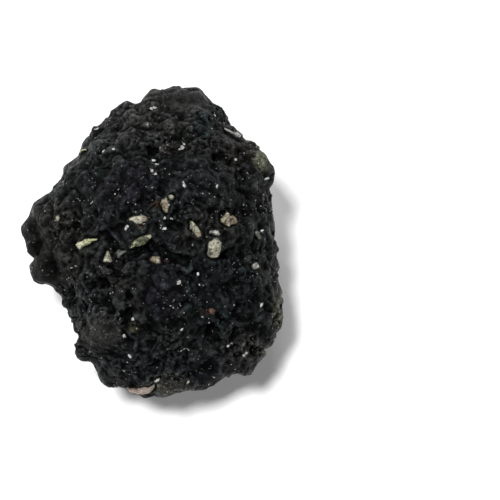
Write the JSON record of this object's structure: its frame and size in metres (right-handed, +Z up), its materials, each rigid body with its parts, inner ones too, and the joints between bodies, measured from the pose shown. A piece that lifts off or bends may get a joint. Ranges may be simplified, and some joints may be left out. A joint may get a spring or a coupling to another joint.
{
  "type": "lava rock",
  "caption": "Rough black basalt lava rock with lumps, hollows and pale mineral grains, lying on a small flat spot; a display, garden or aquarium stone.",
  "frame": {"origin": "centre of the object's box in plan, at the height of the flat spot that it rests on", "axes": "+Z up from the surface it rests on; +Y along the longest way, towards the crown; +X to the right as the face with the grains is seen from -Y and above"},
  "size_m": [0.1063, 0.1283, 0.0759],
  "materials": {
    "basalt": "near black, rough and pitted, with small glints",
    "cream_grain": "broken feldspar, satin",
    "yellow_grain": "mottled yellow-green, satin",
    "tan_grain": "tan, mottled, satin",
    "grey_grain": "cloudy grey, glassy",
    "white_grain": "white, satin",
    "rusty_grain": "rusty brown, matte",
    "crust": "pinkish white mineral crust, matte"
  },
  "bodies": {
    "root": {"crust_flake": "crust", "crust_tip": "white_grain", "grain_east_block": "cream_grain", "grain_east_chunk": "tan_grain", "grain_east_dot": "cream_grain", "grain_east_green": "yellow_grain", "grain_east_slant": "cream_grain", "grain_east_sliver": "white_grain", "grain_far_01": "cream_grain", "grain_far_02": "tan_grain", "grain_far_03": "yellow_grain", "grain_far_04": "white_grain", "grain_far_05": "cream_grain", "grain_middle_block": "cream_grain", "grain_middle_dot": "cream_grain", "grain_middle_long": "cream_grain", "grain_middle_mottled": "yellow_grain", "grain_middle_wedge": "tan_grain", "grain_notch_streak": "white_grain", "grain_rim_rod": "yellow_grain", "grain_rusty": "rusty_grain", "grain_west_block": "cream_grain", "grain_west_dot": "cream_grain", "grain_west_grey": "grey_grain", "grain_west_long": "yellow_grain", "lava_rock": "basalt"}
  },
  "joints": []
}
